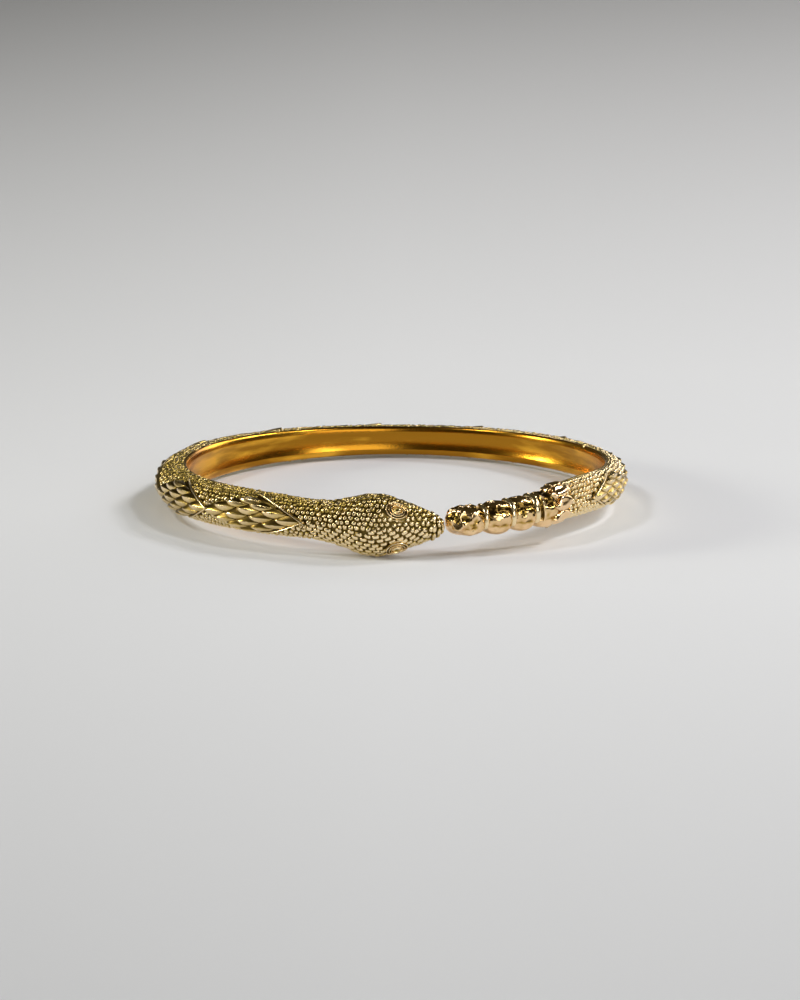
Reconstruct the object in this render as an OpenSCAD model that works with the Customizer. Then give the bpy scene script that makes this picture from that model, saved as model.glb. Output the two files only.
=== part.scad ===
// Open cuff bracelet in the form of a snake that lies round the wrist, head to rattle.
// One casting: the ring, the head, the rattle and all the raised scales are one solid.
// Millimetres, +Z up. The cuff lies on its side, and the head is at the front, towards -Y.

/* [Cuff] */
// Inner diameter, where the wrist goes
inner_d = 60; // [56:0.5:66]
// Gap between the nose and the tip of the rattle
end_gap = 0.35; // [0.3:0.05:3]
// Depth of the shallow channel round the inner face
channel = 0.25; // [0:0.05:0.5]
// Lean with which the cuff rests on its jaw and on its back
rest_lean = 2.2; // [0:0.1:4]
// Sideways lean of the cuff as it rests
rest_roll = 0.08; // [-1:0.05:1]

/* [Head] */
// Width of the head across the jaws
head_w = 8.65; // [7:0.05:10]
// Depth of the head, from the wrist outwards
head_t = 5.2; // [4.4:0.1:6]
// Width of the oval ring round each eye
eye_w = 2.3; // [1.6:0.1:2.8]
// Length of the oval ring round each eye
eye_l = 3.1; // [2.4:0.1:3.6]

/* [Body] */
// Width of the neck
neck_w = 5.4; // [4:0.1:6]
// Width of the body behind the neck
body_w = 5.75; // [4.8:0.1:6.5]
// Width of the band at the back of the wrist
back_w = 4.4; // [3.4:0.05:5]
// Width of the tail before the rattle
tail_w = 5.0; // [4:0.1:5.6]
// Depth of the body at its thickest, without the scales
body_t = 4.4; // [3.6:0.1:5.2]
// Depth of the tail, without the scales
tail_t = 3.1; // [2.8:0.1:4]

/* [Diamonds] */
// Number of diamonds along the back of the snake
diamonds = 10; // [3:1:10]
// Height of the large scales
scale_h = 0.5; // [0.2:0.05:0.8]
// Height of the V ridges
ridge_h = 0.4; // [0.2:0.05:0.7]
// Width of the V ridges
ridge_w = 0.5; // [0.3:0.05:0.8]

/* [Rattle] */
// Width of the rattle's first segment
rattle_w = 4.75; // [3.6:0.1:5]
// Width of the rattle's tip
tip_w = 4.15; // [3:0.05:4.6]
// Share of its width that a segment loses at its ends
waist = 0.2; // [0.05:0.01:0.3]
// Height of the petals at the root of the rattle
petal_h = 0.6; // [0.3:0.05:0.9]

/* [Hidden] */
old_gold = [0.72, 0.55, 0.22];
inner_r = inner_d / 2;
nose_deg = 281.7;
mid_r = inner_r + head_t / 2;
tail_end = 360 - end_gap / mid_r * 180 / PI;

// Columns of the section table
AT = 0;     // degrees along the ring, from the nose
WIDE = 1;   // width, along Z
DEEP = 2;   // depth, outwards
LIFT = 3;   // height of the middle above the ring's plane
INSET = 4;  // distance of the inner side from the inner diameter
FLAT = 5;   // squareness of the inner side: 2 is an ellipse
DISH = 6;   // share of the channel

head_rows = [
    [0.0, 0.12 * head_w, 0.24 * head_t, -0.78, 1.70, 2.0, 0],
    [0.5, 0.21 * head_w, 0.38 * head_t, -0.78, 1.30, 2.0, 0],
    [1.3, 0.30 * head_w, 0.50 * head_t, -0.78, 0.95, 2.1, 0],
    [2.7, 0.42 * head_w, 0.62 * head_t, -0.76, 0.60, 2.2, 0],
    [4.7, 0.53 * head_w, 0.73 * head_t, -0.72, 0.35, 2.4, 0],
    [8.6, 0.73 * head_w, 0.86 * head_t, -0.64, 0.10, 2.7, 0],
    [12.4, 0.90 * head_w, 0.95 * head_t, -0.60, 0.00, 3.0, 0],
    [16.3, 1.00 * head_w, 1.00 * head_t, -0.60, 0.00, 3.2, 0],
    [20.2, 0.945 * head_w, 0.97 * head_t, -0.56, 0.00, 3.4, 0],
    [24.2, 0.80 * head_w, 0.89 * head_t, -0.50, 0.00, 3.8, 0.2],
    [28.2, 0.67 * head_w, 0.82 * head_t, -0.40, 0.00, 4.2, 0.6],
    [33.0, neck_w, 0.77 * head_t, -0.26, 0.00, 5.0, 1.0]
];
body_rows = [
    [40, 0.50 * (neck_w + body_w), 0.92 * body_t, -0.16, 0.00, 5.0, 1],
    [55, 1.00 * body_w, 0.97 * body_t, -0.05, 0.00, 5.0, 1],
    [80, 1.01 * body_w, 1.00 * body_t, -0.20, 0.00, 5.0, 1],
    [105, 0.99 * body_w, 1.00 * body_t, -0.20, 0.00, 5.0, 1],
    [131, 0.94 * body_w, 0.96 * body_t, -0.08, 0.00, 5.0, 1],
    [157, 1.10 * back_w, 0.90 * body_t, 0.08, 0.00, 5.0, 1],
    [191, 1.00 * back_w, 0.84 * body_t, 0.12, 0.00, 5.0, 1],
    [216, 0.93 * tail_w, 1.13 * tail_t, 0.12, 0.00, 5.0, 1],
    [241, 0.98 * tail_w, 1.07 * tail_t, 0.12, 0.00, 5.0, 1],
    [266, 1.00 * tail_w, 1.00 * tail_t, 0.20, 0.00, 5.0, 1],
    [292, 1.04 * tail_w, 1.00 * tail_t, 0.48, 0.00, 5.0, 1],
    [312, 1.08 * tail_w, 1.03 * tail_t, 0.86, 0.00, 5.0, 1],
    [321, 1.05 * tail_w, 1.08 * tail_t, 0.80, 0.00, 4.4, 0.6],
    [328.6, 0.96 * tail_w, 1.10 * tail_t, 0.55, 0.05, 3.6, 0.2]
];

// Columns of the rattle's table: start, end, width, lift
rattle_parts = [
    [329.4, 335.9, 1.02 * rattle_w, 0.36],
    [335.9, 342.6, 0.97 * rattle_w, 0.18],
    [342.6, 349.7, (rattle_w + tip_w) / 2, -0.03]
];
tip_start = 349.7;
tip_lift = -0.25;
// Share along a segment, and share of the width at that place
bulge = [[0.04, 1 - waist], [0.22, 1 - waist * 0.25], [0.55, 1], [0.84, 1 - waist * 0.3]];
tip_bulge = [[0.02, 1 - waist], [0.2, 0.97], [0.45, 1], [0.7, 0.93], [0.86, 0.77], [0.95, 0.55], [1, 0.28]];

function rattle_row(at, w, lift) =
    [at, w, 0.92 * w, lift, inner_lean(w), 2.3, 0];
// Radial place of the inner side, so that the segments share one middle line
function inner_lean(w) = 2.05 - 0.46 * w;

rattle_rows = [
    for (p = rattle_parts, b = bulge)
        rattle_row(p[0] + b[0] * (p[1] - p[0]), p[2] * b[1], p[3]),
    for (b = tip_bulge)
        rattle_row(tip_start + b[0] * (tail_end - tip_start), tip_w * b[1], tip_lift)
];
rows = concat(head_rows, body_rows, rattle_rows);
last = len(rows) - 1;

// Smooth curve through the rows of one column
function row_before(at, lo = 0, hi = last) =
    hi - lo < 2 ? lo
    : let(m = floor((lo + hi) / 2)) rows[m][AT] > at ? row_before(at, lo, m) : row_before(at, m, hi);
function slope(i, c) =
    i == 0 || i == last ? 0 : (rows[i + 1][c] - rows[i - 1][c]) / (rows[i + 1][AT] - rows[i - 1][AT]);
function size_at(at, c) =
    let(
        i = row_before(at),
        step = rows[i + 1][AT] - rows[i][AT],
        t = (at - rows[i][AT]) / step,
        s = t * t * (3 - 2 * t)
    )
    rows[i][c] * (1 - s) + rows[i + 1][c] * s
    + step * (slope(i, c) * t * (1 - t) * (1 - t) - slope(i + 1, c) * t * t * (1 - t));

// The skin: a point at a place along the ring, turn degrees round the section.
// Turn 0 is the outermost line of the snake's back, 90 its upper edge, 180 the inner face.
dome = 2.2;       // squareness of the outer side
belly = 0.34;     // share of the depth that lies inside the widest line
dish_reach = 0.6; // share of the width that the channel takes
function power(x, n) = sign(x) * pow(abs(x), 2 / n);
function skin(at, turn, rise = 0) =
    let(
        wide = size_at(at, WIDE) / 2,
        deep = size_at(at, DEEP),
        c = cos(turn),
        n = c >= 0 ? dome : size_at(at, FLAT),
        z = wide * power(sin(turn), n),
        out = c >= 0 ? deep * (1 - belly) * power(c, n) : deep * belly * power(c, n),
        near = max(0, 1 - pow(z / (wide * dish_reach), 2)),
        dish = c < 0 ? channel * size_at(at, DISH) * near : 0,
        r = inner_r + size_at(at, INSET) + belly * deep + out + dish + rise * c,
        f = nose_deg - at
    )
    [r * cos(f), r * sin(f), size_at(at, LIFT) + z + rise * sin(turn)];

// The ring of points of one section, denser on the inner face than an even spread
half_turns = [20, 40, 60, 78, 95, 113, 134, 156, 174];
turns = concat([0], half_turns, [for (i = [len(half_turns) - 1:-1:0]) -half_turns[i]]);
count = len(turns);
stops = concat(
    [0, 0.5, 1.3, 2.1, 3.2, 4.7],
    [for (a = [6.4:2:32.4]) a],
    [for (i = [0:59]) 34.8 + i * 4.9],
    [for (i = [len(head_rows) + len(body_rows):last]) rows[i][AT]]
);

module swept_skin() {
    points = [for (a = stops, t = turns) skin(a, t)];
    n = len(stops);
    sides = [
        for (i = [0:n - 2], j = [0:count - 1])
            let(k = (j + 1) % count, a = i * count, b = a + count)
                each [[a + j, b + j, b + k], [a + j, b + k, a + k]]
    ];
    nose = [[for (j = [0:count - 1]) j]];
    tip = [[for (j = [count - 1:-1:0]) (n - 1) * count + j]];
    polyhedron(points, concat(sides, nose, tip), convexity = 8);
}

// A solid with its corners at the given points
module solid_of(points) {
    hull() polyhedron(points, [for (i = [1:len(points) - 2]) [0, i, i + 1]]);
}

// Diamonds: each starts at its head end, a place in degrees from the nose. The last one is
// turned round and points to the rattle.
root = 0.5;          // how far the raised forms reach into the skin
first_diamond = 34.1;
diamond_pitch = 28.1;
hollow = 0.01;       // bare share before the first scale
tile = 0.2575;       // share of the pitch that one scale takes
spread = 58;         // turn of the diamond's side corners
twist = -2;          // turn of the diamonds' middle line
side_loss = 0.25;    // share of its height that a scale loses towards the corners
function point_of(k) = first_diamond + diamond_pitch * (k < diamonds - 1 ? k : diamonds);
function sense_of(k) = k < diamonds - 1 ? 1 : -1;

// One large scale: a leaf on four corners under a keel, which is highest towards the tail
brim = 0.1;          // height of its side corners over the skin, as a share of its own
keel = [[-0.7, 0.5], [0.35, 1]];
module scale(at, turn, long, high, rise) {
    points = concat(
        [for (p = [-1, 1]) skin(at + p * long, turn, -root)],
        [for (q = [-1, 1], r = [-root, brim * rise]) skin(at, turn + q * high, r)],
        [for (p = keel) skin(at + p[0] * long, turn, rise * p[1])]
    );
    solid_of(points);
}

scales_a_side = 4;
scale_gap = 0.06;    // share of its size by which a scale stands clear of the next
module diamond(k) {
    for (i = [0:scales_a_side - 1], j = [0:scales_a_side - 1]) {
        along = hollow + tile * (i + j + 1) / 2;
        off = (i - j) / scales_a_side * spread;
        scale(point_of(k) + sense_of(k) * along * diamond_pitch, twist + off,
            tile / 2 * diamond_pitch * (1 - scale_gap), spread / scales_a_side * (1 - scale_gap),
            scale_h * (1 - side_loss * abs(off) / spread));
    }
}

// A V ridge before each diamond: two arms from its point on the middle line to the edges
ridge_edge = 70;     // turn at which an arm ends
ridge_reach = 13.1;  // degrees along the ring that an arm covers
ridge_foot = 1.6;    // width of a ridge at its foot, as a share of its width
ridge_steps = 3;
module ridge_arm(k, side) {
    half = ridge_w / 2 / inner_r * 180 / PI;
    for (i = [0:ridge_steps - 1]) {
        ends = [
            for (t = [i, i + 1] / ridge_steps)
                [point_of(k) + sense_of(k) * ridge_reach * t, twist + (side * ridge_edge - twist) * t]
        ];
        solid_of([
            for (e = ends) each [
                skin(e[0] - half * ridge_foot, e[1], -root), skin(e[0] + half * ridge_foot, e[1], -root),
                skin(e[0] - half, e[1], ridge_h), skin(e[0] + half, e[1], ridge_h)
            ]
        ]);
    }
}

// Large pointed scales that lie from the tail over the collar, tips towards the rattle
petal_turns = [-77, -34, 9, 52, 95];
petal_start = 324.4;
petal_tip = 331.5;
petal_high = 19;
petal_root = 0.9;    // how far a petal reaches down, past the waist that it bridges
// Columns: place along the petal, half its width as a share, height as a share
petal_feet = [[0, 0.3, 0], [1.6, 1, 0], [4.4, 0.9, 0], [petal_tip - petal_start, 0, 0]];
petal_tops = [[1.8, 0.6, 0.5], [4.2, 0.6, 0.9], [petal_tip - petal_start - 0.8, 0.1, 1]];
module petal(turn) {
    solid_of(concat(
        [for (c = petal_feet, s = [-1, 1])
            skin(petal_start + c[0], turn + s * petal_high * c[1], -petal_root)],
        [for (c = petal_tops, s = [-1, 1])
            skin(petal_start + c[0], turn + s * petal_high * c[1], petal_h * c[2])]
    ));
}

// An eye: an oval boss with a raised ball, on the side of the head
eye_at = 11.5;
eye_turn = 40.5;
head_twist = -0.5;   // turn of the head's middle line
eye_sides = 10;
eye_rim = 0.18;
eye_ball = 0.34;
ball_share = 0.62;
module eye(side) {
    deg = 180 / PI;
    long = eye_l / 2 / (inner_r + head_t) * deg;
    high = eye_w / 2 / (head_w / 2) * deg;
    module oval(grow, rise) {
        solid_of([
            for (i = [0:eye_sides - 1], r = [-root, rise])
                skin(eye_at + grow * long * cos(i * 360 / eye_sides),
                    head_twist + side * eye_turn + grow * high * sin(i * 360 / eye_sides), r)
        ]);
    }
    oval(1, eye_rim);
    oval(ball_share, eye_ball);
}

module cuff_form() {
    union() {
        swept_skin();
        for (k = [0:diamonds - 1]) diamond(k);
        for (k = [0:diamonds - 1], side = [-1, 1]) ridge_arm(k, side);
        for (t = petal_turns) petal(t);
        for (side = [-1, 1]) eye(side);
    }
}

// How the cuff rests: leaned on its jaw and its back, its lowest point on the ground, and
// the middle of its box over the origin. The large scales widen the box at the back only.
function leaned(p) =
    let(
        c = cos(rest_lean), s = sin(rest_lean),
        y = p.y * c + p.z * s, z = p.z * c - p.y * s
    )
    [p.x * cos(rest_roll) + z * sin(rest_roll), y, z * cos(rest_roll) - p.x * sin(rest_roll)];
resting = [for (a = stops, t = turns) leaned(skin(a, t))];
function middle(values) = (min(values) + max(values)) / 2;
rest = [
    -middle([for (p = resting) p.x]),
    -middle([for (p = resting) p.y]) - scale_h / 2,
    -min([for (p = resting) p.z])
];
module cuff() {
    color(old_gold) translate(rest) rotate([-rest_lean, rest_roll, 0]) cuff_form();
}

cuff();
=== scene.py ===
"""Looks of the snake cuff: the cast skin, its granules and scales, the head and the rattle.

The shapes are worked out in millimetres on the snake's skin, as the solid's are, and place()
lays them in the scene, where everything is in metres.
"""

import math
from types import SimpleNamespace

import bpy
import numpy as np
from bpy.types import NodeSocket, Operator, Panel, PropertyGroup
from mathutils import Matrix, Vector, noise


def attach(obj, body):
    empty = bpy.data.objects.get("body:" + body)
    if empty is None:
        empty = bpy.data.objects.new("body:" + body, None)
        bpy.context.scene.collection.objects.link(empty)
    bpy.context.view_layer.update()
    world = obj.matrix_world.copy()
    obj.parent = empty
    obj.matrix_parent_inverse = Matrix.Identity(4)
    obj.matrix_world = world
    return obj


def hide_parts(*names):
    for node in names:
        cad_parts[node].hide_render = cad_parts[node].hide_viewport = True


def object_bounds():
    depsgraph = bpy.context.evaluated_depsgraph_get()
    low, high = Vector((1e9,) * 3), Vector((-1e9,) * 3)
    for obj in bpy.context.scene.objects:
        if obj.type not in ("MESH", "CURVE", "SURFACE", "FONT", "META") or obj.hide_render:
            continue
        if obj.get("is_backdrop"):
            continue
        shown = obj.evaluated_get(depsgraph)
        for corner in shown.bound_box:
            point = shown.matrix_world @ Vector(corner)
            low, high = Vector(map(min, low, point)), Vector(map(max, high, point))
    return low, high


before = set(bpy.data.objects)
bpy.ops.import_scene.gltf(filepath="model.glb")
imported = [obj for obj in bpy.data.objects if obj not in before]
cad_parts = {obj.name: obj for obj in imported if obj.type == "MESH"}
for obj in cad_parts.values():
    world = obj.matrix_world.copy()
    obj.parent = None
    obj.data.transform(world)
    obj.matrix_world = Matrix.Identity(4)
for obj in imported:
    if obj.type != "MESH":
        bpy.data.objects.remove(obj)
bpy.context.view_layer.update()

bl_info = {
    "name": "Snake Cuff",
    "version": (1, 0, 0),
    "blender": (4, 5, 0),
    "location": "3D View > Sidebar > Snake Cuff",
    "description": "Builds the cast skin, scales, head and rattle of an antiqued snake cuff",
    "category": "Object",
}

MM = 0.001
NODE = "cuff"
BODY = "root"
DEG = math.pi / 180


# ---- settings


def amount(name, description, default, **kind):
    return bpy.props.FloatProperty(name=name, description=description, default=default, **kind)


def power(name, description, watts):
    return amount(name, description, watts, unit="POWER")


def length(name, description, millimetres):
    """A size that the sidebar shows as a length."""
    return amount(name, description, millimetres * MM, unit="LENGTH", precision=5)


def colour(name, description, rgb):
    return bpy.props.FloatVectorProperty(
        name=name, description=description, default=(*rgb, 1), size=4, subtype="COLOR", min=0, max=1
    )


class CuffSizes(PropertyGroup):
    """Driving sizes of the cuff, the same as the solid's."""

    inner_d: length("Inner diameter", "Clear diameter for the wrist", 60)
    end_gap: length("End gap", "Gap between the nose and the rattle", 0.35)
    channel: length("Channel", "Depth of the channel round the inner face", 0.25)
    head_w: length("Head width", "Width of the head across the jaws", 8.65)
    head_t: length("Head depth", "Depth of the head, outwards from the wrist", 5.2)
    neck_w: length("Neck width", "Width of the neck", 5.4)
    body_w: length("Body width", "Width of the body behind the neck", 5.75)
    back_w: length("Back width", "Width of the band at the back", 4.4)
    tail_w: length("Tail width", "Width of the tail before the rattle", 5.0)
    body_t: length("Body depth", "Depth of the body at its thickest", 4.4)
    tail_t: length("Tail depth", "Depth of the tail", 3.1)
    rattle_w: length("Rattle width", "Width of the rattle's first segment", 4.75)
    tip_w: length("Tip width", "Width of the rattle's tip", 4.15)
    scale_h: length("Scale height", "Height of the large scales", 0.5)
    ridge_h: length("Ridge height", "Height of the V ridges", 0.4)
    ridge_w: length("Ridge width", "Width of the V ridges", 0.34)
    petal_h: length("Petal height", "Height of the petals at the rattle's root", 0.6)
    eye_w: length("Eye ring width", "Width of the outer ring round an eye", 2.45)
    eye_l: length("Eye ring length", "Length of the outer ring round an eye", 3.2)


class GranuleSizes(PropertyGroup):
    """Sizes of the small scales."""

    head_pitch: length("Head granules", "Spacing of the granules on the head", 0.78)
    body_pitch: length("Body granules", "Spacing of the granules between the diamonds", 0.72)
    granule_h: length("Granule height", "Height of a granule", 0.4)
    gap: length("Gap", "Groove between two granules", 0.08)
    brick_l: length("Jaw scale length", "Length of the scales along the jaws", 1.1)
    brick_w: length("Jaw scale width", "Width of a row of scales along the jaws", 0.65)
    ground: length("Ground", "Depth of the ground between granules, below the skin", 0.3)


class GoldFinish(PropertyGroup):
    """Colours and gloss of the antiqued gold."""

    bright: colour("Bright", "Gold on the worn high points", (0.98, 0.79, 0.47))
    middle: colour("Middle", "Gold on the flanks of the relief", (0.56, 0.4, 0.09))
    patina: colour("Patina", "Darkened gold in the grooves", (0.14, 0.095, 0.024))
    # The inner face's own gold, painted deeper orange as a painted reflection of the gold round it
    inner_gold_and_reflection: colour("Polished", "Gold of the smooth inner face", (1.0, 0.53, 0.05))
    # Painted warm reflection: a tint multiplied into the gold of the rattle, its petals and
    # collars, and a little of the scales
    warm_reflection_tint: colour("Rose tint", "Warmer tint of the gold on the rattle", (1.0, 0.88, 0.82))
    # Streaks at random along the inner face, and the painted shade at its back
    streaks: colour("Streaks", "Darker streaks along the inner face", (0.42, 0.19, 0.015))
    worn_roughness: amount("Worn roughness", "Roughness of the high points", 0.21, min=0, max=1)
    patina_roughness: amount("Patina roughness", "Roughness of the grooves", 0.36, min=0, max=1)
    polished_gloss: amount(
        "Polished gloss", "Share of the roughness left where it is polished", 0.6, min=0, max=1
    )


class Studio(PropertyGroup):
    """Floor, lights and camera."""

    floor: colour("Floor", "Colour of the floor", (0.89, 0.912, 0.965))
    # Painted shade: the floor darkens to this colour away from the cuff
    far_floor_shade: colour("Far floor", "Colour of the floor away from the cuff", (0.37, 0.378, 0.4))
    distance: length("Camera distance", "From the camera to the ring's middle", 650)
    elevation: amount(
        "Camera elevation", "Height of the camera as an angle", 12.82 * DEG, subtype="ANGLE"
    )
    focal: length("Focal length", "Of the camera, for a sensor 36 mm wide", 202.03)
    aim_right: amount("Aim right", "Turn of the view off the ring's middle", 0.000913)
    aim_down: amount("Aim down", "Tilt of the view off the ring's middle", 0.004856)
    right_window: power("Right window", "Power of the window on the right", 2.3)
    front_screen: power("Front screen", "Power of the low screen in front", 2.45)
    back_screen: power("Back screen", "Power of the low screen behind", 1.7)
    left_window: power("Left window", "Power of the window on the left", 3.2)
    right_spot: power("Right lamp", "Power of the small lamp on the right", 1.5)
    left_spot: power("Left lamp", "Power of the small lamp on the left", 1.65)
    overhead_screen: power("Overhead screen", "Power of the dim screen over the camera", 0.09)
    lamp_behind: power("Lamp behind", "Power of the small lamp behind", 0.35)
    walls: colour("Walls", "Colour of the dim room", (1.0, 0.84, 0.4))
    room: amount("Room", "Strength of the light from all round", 0.04, min=0)


GROUPS = {
    "snake_cuff": CuffSizes,
    "snake_granules": GranuleSizes,
    "snake_gold": GoldFinish,
    "snake_studio": Studio,
}


def in_mm(group_name):
    """The lengths of a group of settings, in millimetres."""
    group = getattr(bpy.context.scene, group_name)
    names = GROUPS[group_name].__annotations__
    return SimpleNamespace(**{name: getattr(group, name) / MM for name in names})


# ---- the snake's skin

AT, WIDE, DEEP, LIFT, INSET, FLAT, DISH = range(7)
NOSE_DEG = 281.7
REST_LEAN = 2.2
REST_ROLL = 0.08
DOME = 2.2
BELLY = 0.34
CORE = 0.45
DISH_REACH = 0.6
TIP_START = 349.7
TAIL_ROOT = 328.6
# How far the skin's slope is measured to each side, in degrees along and round
NEAR_AT, NEAR_TURN = 0.2, 1.5


def segment_rows(c):
    """The rattle's segments: start, end, width and lift."""
    tail_end = 360 - c.end_gap / (c.inner_d / 2 + c.head_t / 2) / DEG
    return [
        (329.4, 335.9, 1.02 * c.rattle_w, 0.36),
        (335.9, 342.6, 0.97 * c.rattle_w, 0.18),
        (342.6, TIP_START, (c.rattle_w + c.tip_w) / 2, -0.03),
        (TIP_START, tail_end, c.tip_w, -0.25),
    ]


def section_rows(c):
    """The table of sections, with the columns named above."""
    waist = 0.2
    head = [
        (0.0, 0.12, 0.24, -0.78, 1.70, 2.0, 0),
        (0.5, 0.21, 0.38, -0.78, 1.30, 2.0, 0),
        (1.3, 0.30, 0.50, -0.78, 0.95, 2.1, 0),
        (2.7, 0.42, 0.62, -0.76, 0.60, 2.2, 0),
        (4.7, 0.53, 0.73, -0.72, 0.35, 2.4, 0),
        (8.6, 0.73, 0.86, -0.64, 0.10, 2.7, 0),
        (12.4, 0.90, 0.95, -0.60, 0.00, 3.0, 0),
        (16.3, 1.00, 1.00, -0.60, 0.00, 3.2, 0),
        (20.2, 0.945, 0.97, -0.56, 0.00, 3.4, 0),
        (24.2, 0.80, 0.89, -0.50, 0.00, 3.8, 0.2),
        (28.2, 0.67, 0.82, -0.40, 0.00, 4.2, 0.6),
    ]
    rows = [(at, w * c.head_w, t * c.head_t, *rest) for at, w, t, *rest in head]
    band = [
        (33.0, c.neck_w, 0.77 * c.head_t, -0.26),
        (40, 0.50 * (c.neck_w + c.body_w), 0.92 * c.body_t, -0.16),
        (55, c.body_w, 0.97 * c.body_t, -0.05),
        (80, 1.01 * c.body_w, c.body_t, -0.20),
        (105, 0.99 * c.body_w, c.body_t, -0.20),
        (131, 0.94 * c.body_w, 0.96 * c.body_t, -0.08),
        (157, 1.10 * c.back_w, 0.90 * c.body_t, 0.08),
        (191, c.back_w, 0.84 * c.body_t, 0.12),
        (216, 0.93 * c.tail_w, 1.13 * c.tail_t, 0.12),
        (241, 0.98 * c.tail_w, 1.07 * c.tail_t, 0.12),
        (266, c.tail_w, c.tail_t, 0.20),
        (292, 1.04 * c.tail_w, c.tail_t, 0.48),
        (312, 1.08 * c.tail_w, 1.03 * c.tail_t, 0.86),
    ]
    # The band has no inset, the flattest inner face and the whole channel
    rows += [(*row, 0, 5, 1) for row in band]
    rows += [
        (321, 1.05 * c.tail_w, 1.08 * c.tail_t, 0.80, 0, 4.4, 0.6),
        (TAIL_ROOT, 0.96 * c.tail_w, 1.10 * c.tail_t, 0.55, 0.05, 3.6, 0.2),
    ]
    lobes = [(0.04, 1 - waist), (0.22, 1 - waist * 0.25), (0.55, 1), (0.84, 1 - waist * 0.3)]
    tip = [(0.02, 1 - waist), (0.2, 0.97), (0.45, 1), (0.7, 0.93), (0.86, 0.77), (0.95, 0.55),
           (1, 0.28)]
    for start, end, wide, lift in segment_rows(c):
        for share, width in tip if start == TIP_START else lobes:
            w = wide * width
            rows.append((start + share * (end - start), w, 0.92 * w, lift, 2.05 - 0.46 * w, 2.3, 0))
    return np.array(rows)


class Skin:
    """The skin: a point at a place along the ring, in degrees from the nose, and turn degrees
    round the section. Turn 0 is the middle line of the snake's back, 90 its upper edge and
    180 the middle of the inner face."""

    STEP = 0.25
    TURNS = np.arange(-180, 181, 2.0)

    def __init__(self):
        self.c = in_mm("snake_cuff")
        self.inner_r = self.c.inner_d / 2
        self.rows = section_rows(self.c)
        self.tail_end = self.rows[-1, AT]
        x = self.rows[:, AT]
        self.slopes = np.zeros_like(self.rows)
        self.slopes[1:-1] = (self.rows[2:] - self.rows[:-2]) / (x[2:] - x[:-2])[:, None]
        self.ats = np.arange(0, self.tail_end, self.STEP)
        grid = self.point(self.ats[:, None], self.TURNS[None, :])
        steps = np.linalg.norm(np.diff(grid, axis=1), axis=2)
        start = np.zeros((len(self.ats), 1))
        self.reaches = np.concatenate([start, np.cumsum(steps, axis=1)], axis=1)
        self.reaches -= self.reaches[:, [len(self.TURNS) // 2]]
        leaned = self.lean(grid.reshape(-1, 3))
        low, high = leaned.min(axis=0), leaned.max(axis=0)
        self.rest = -np.array([(low[0] + high[0]) / 2, (low[1] + high[1]) / 2, low[2]])
        # The large scales widen the box at the back alone
        self.rest[1] -= self.c.scale_h / 2

    def size(self, at, column):
        rows, slopes = self.rows, self.slopes
        at = np.clip(at, 0, self.tail_end)
        i = np.clip(np.searchsorted(rows[:, AT], at, side="right") - 1, 0, len(rows) - 2)
        step = rows[i + 1, AT] - rows[i, AT]
        t = (at - rows[i, AT]) / step
        s = t * t * (3 - 2 * t)
        pull = slopes[i, column] * t * (1 - t) ** 2 - slopes[i + 1, column] * t * t * (1 - t)
        return rows[i, column] * (1 - s) + rows[i + 1, column] * s + step * pull

    def point(self, at, turn):
        at, turn = np.broadcast_arrays(at, turn)
        wide, deep = self.size(at, WIDE) / 2, self.size(at, DEEP)
        c, s = np.cos(turn * DEG), np.sin(turn * DEG)
        n = np.where(c >= 0, DOME, self.size(at, FLAT))
        z = wide * np.sign(s) * np.abs(s) ** (2 / n)
        out = deep * np.where(c >= 0, 1 - BELLY, -BELLY) * np.abs(c) ** (2 / n)
        near = np.maximum(0, 1 - (z / (wide * DISH_REACH)) ** 2)
        dish = np.where(c < 0, self.c.channel * self.size(at, DISH) * near, 0)
        r = self.inner_r + self.size(at, INSET) + BELLY * deep + out + dish
        f = (NOSE_DEG - at) * DEG
        return np.stack([r * np.cos(f), r * np.sin(f), self.size(at, LIFT) + z], axis=-1)

    def axes(self, at, turn):
        """Unit vectors at a place: towards the tail, round the section, and outwards."""
        at, turn = np.broadcast_arrays(at, turn)
        ahead = self.point(at + NEAR_AT, turn) - self.point(at - NEAR_AT, turn)
        across = self.point(at, turn + NEAR_TURN) - self.point(at, turn - NEAR_TURN)
        out = np.cross(ahead, across)
        out /= np.linalg.norm(out, axis=-1, keepdims=True)
        middle = self.point(at, turn) - self.centre(at)
        out *= np.sign(np.sum(out * middle, axis=-1, keepdims=True))
        across /= np.linalg.norm(across, axis=-1, keepdims=True)
        along = np.cross(across, out)
        along *= np.sign(np.sum(along * ahead, axis=-1, keepdims=True))
        return along, across, out

    def centre(self, at):
        """The middle of a section."""
        r = self.inner_r + self.size(at, INSET) + CORE * self.size(at, DEEP)
        f = (NOSE_DEG - at) * DEG
        return np.stack([r * np.cos(f), r * np.sin(f), self.size(at, LIFT)], axis=-1)

    def raised(self, at, turn, height):
        """Points at a height over the skin, along its normal."""
        return self.point(at, turn) + self.axes(at, turn)[2] * height[..., None]

    def row_of(self, at):
        return np.clip(np.rint(at / self.STEP).astype(int), 0, len(self.ats) - 1)

    def turn_at(self, at, reach):
        """The turn at a distance round the section from the middle line of the back."""
        rows = self.row_of(at)
        return np.array([np.interp(d, self.reaches[r], self.TURNS) for r, d in zip(rows, reach)])

    def reach(self, at, turn):
        """The distance round the section from the middle line of the back to a turn."""
        rows = self.row_of(at)
        turn = np.broadcast_to(turn, rows.shape)
        return np.array([np.interp(t, self.TURNS, self.reaches[r]) for r, t in zip(rows, turn)])

    def lean(self, points):
        """Leans points of the ring as the cuff rests."""
        cl, sl = math.cos(REST_LEAN * DEG), math.sin(REST_LEAN * DEG)
        cr, sr = math.cos(REST_ROLL * DEG), math.sin(REST_ROLL * DEG)
        x, y, z = points[..., 0], points[..., 1], points[..., 2]
        y, z = y * cl + z * sl, z * cl - y * sl
        return np.stack([x * cr + z * sr, y, z * cr - x * sr], axis=-1)

    def place(self, points):
        """From the ring's millimetres to the scene's metres."""
        return (self.lean(points) + self.rest) * MM


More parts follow.
